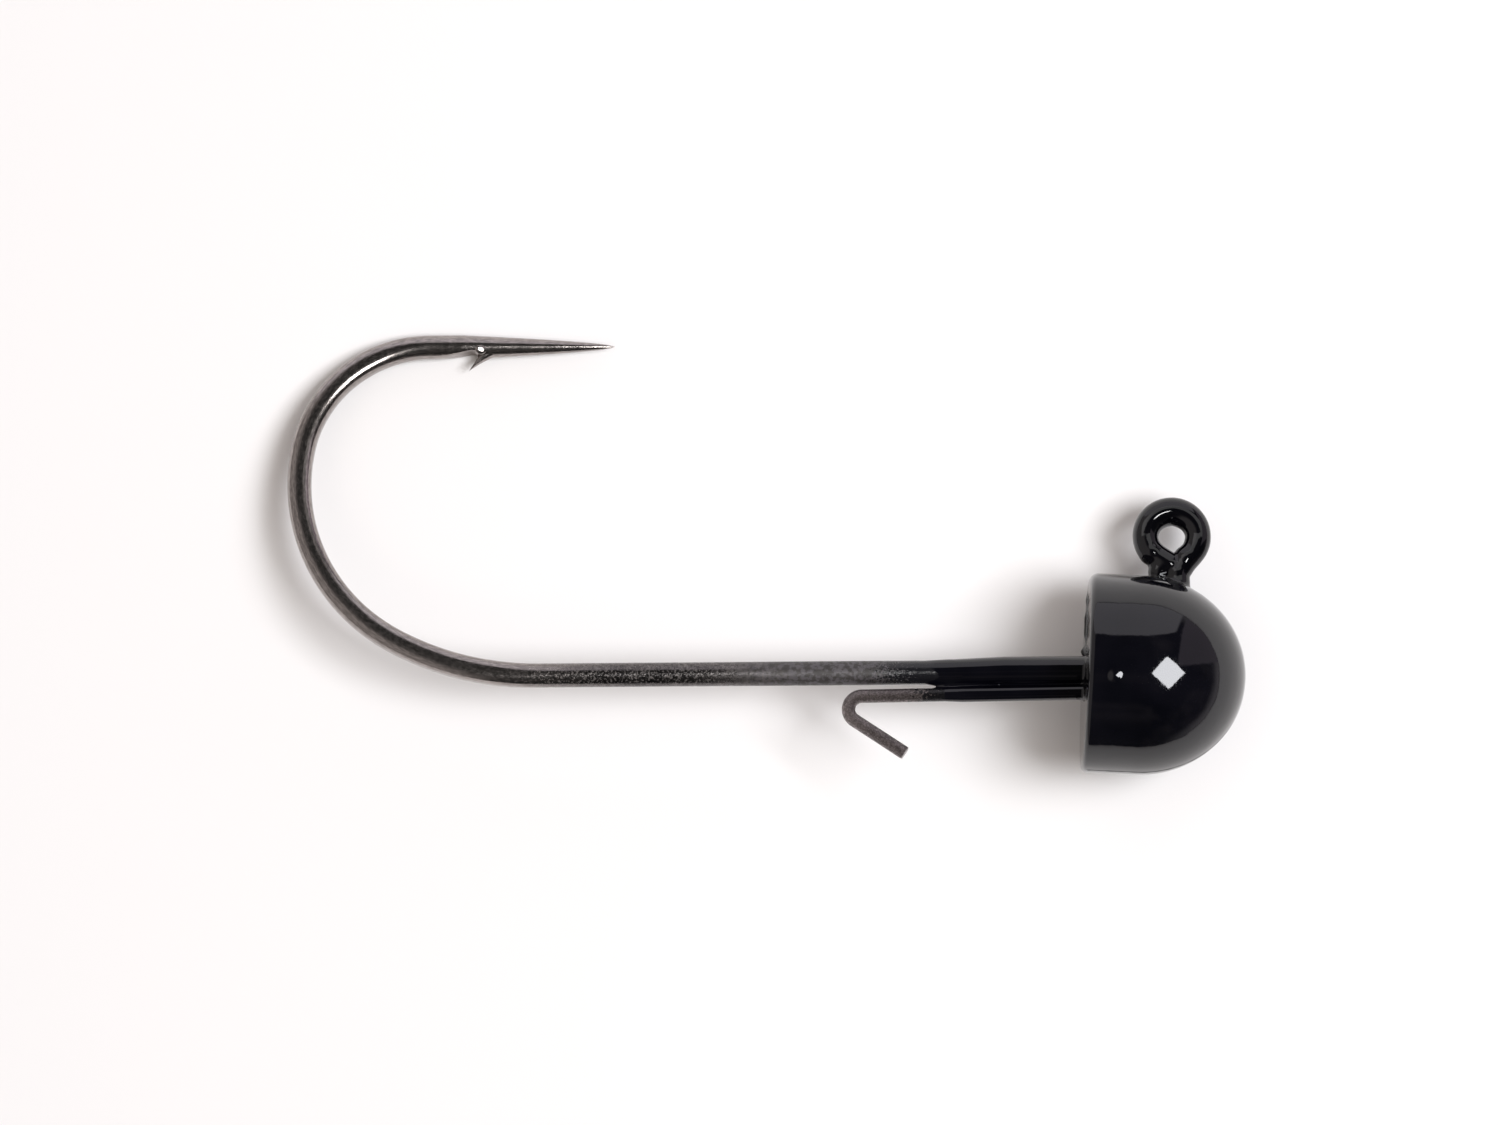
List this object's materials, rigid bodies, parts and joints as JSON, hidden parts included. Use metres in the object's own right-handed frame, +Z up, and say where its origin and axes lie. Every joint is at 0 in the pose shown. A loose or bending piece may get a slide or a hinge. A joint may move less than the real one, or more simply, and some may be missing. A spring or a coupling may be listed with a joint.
{
  "type": "jig head",
  "caption": "Painted bullet-shaped lead jig head on a 90 degree jig hook with a raised line eye and a wire bait keeper, lying on its side.",
  "frame": {"origin": "middle of the box around the whole jig, on the surface that it lies on", "axes": "+X along the shank towards the nose, +Y towards the side of the eye and the point, +Z up"},
  "size_m": [0.0476, 0.0222, 0.0099],
  "materials": {
    "hook_steel": "black nickel plated steel wire, satin with fine grey specks",
    "keeper_steel": "dark plated spring wire, satin",
    "lead": "dull cast lead",
    "black_paint": "gloss black enamel"
  },
  "bodies": {
    "root": {"jig_hook": "hook_steel", "keeper_wire": "keeper_steel", "head_casting": "lead", "head_coat": "black_paint", "eye_coat": "black_paint", "shank_coat": "black_paint"}
  },
  "joints": []
}
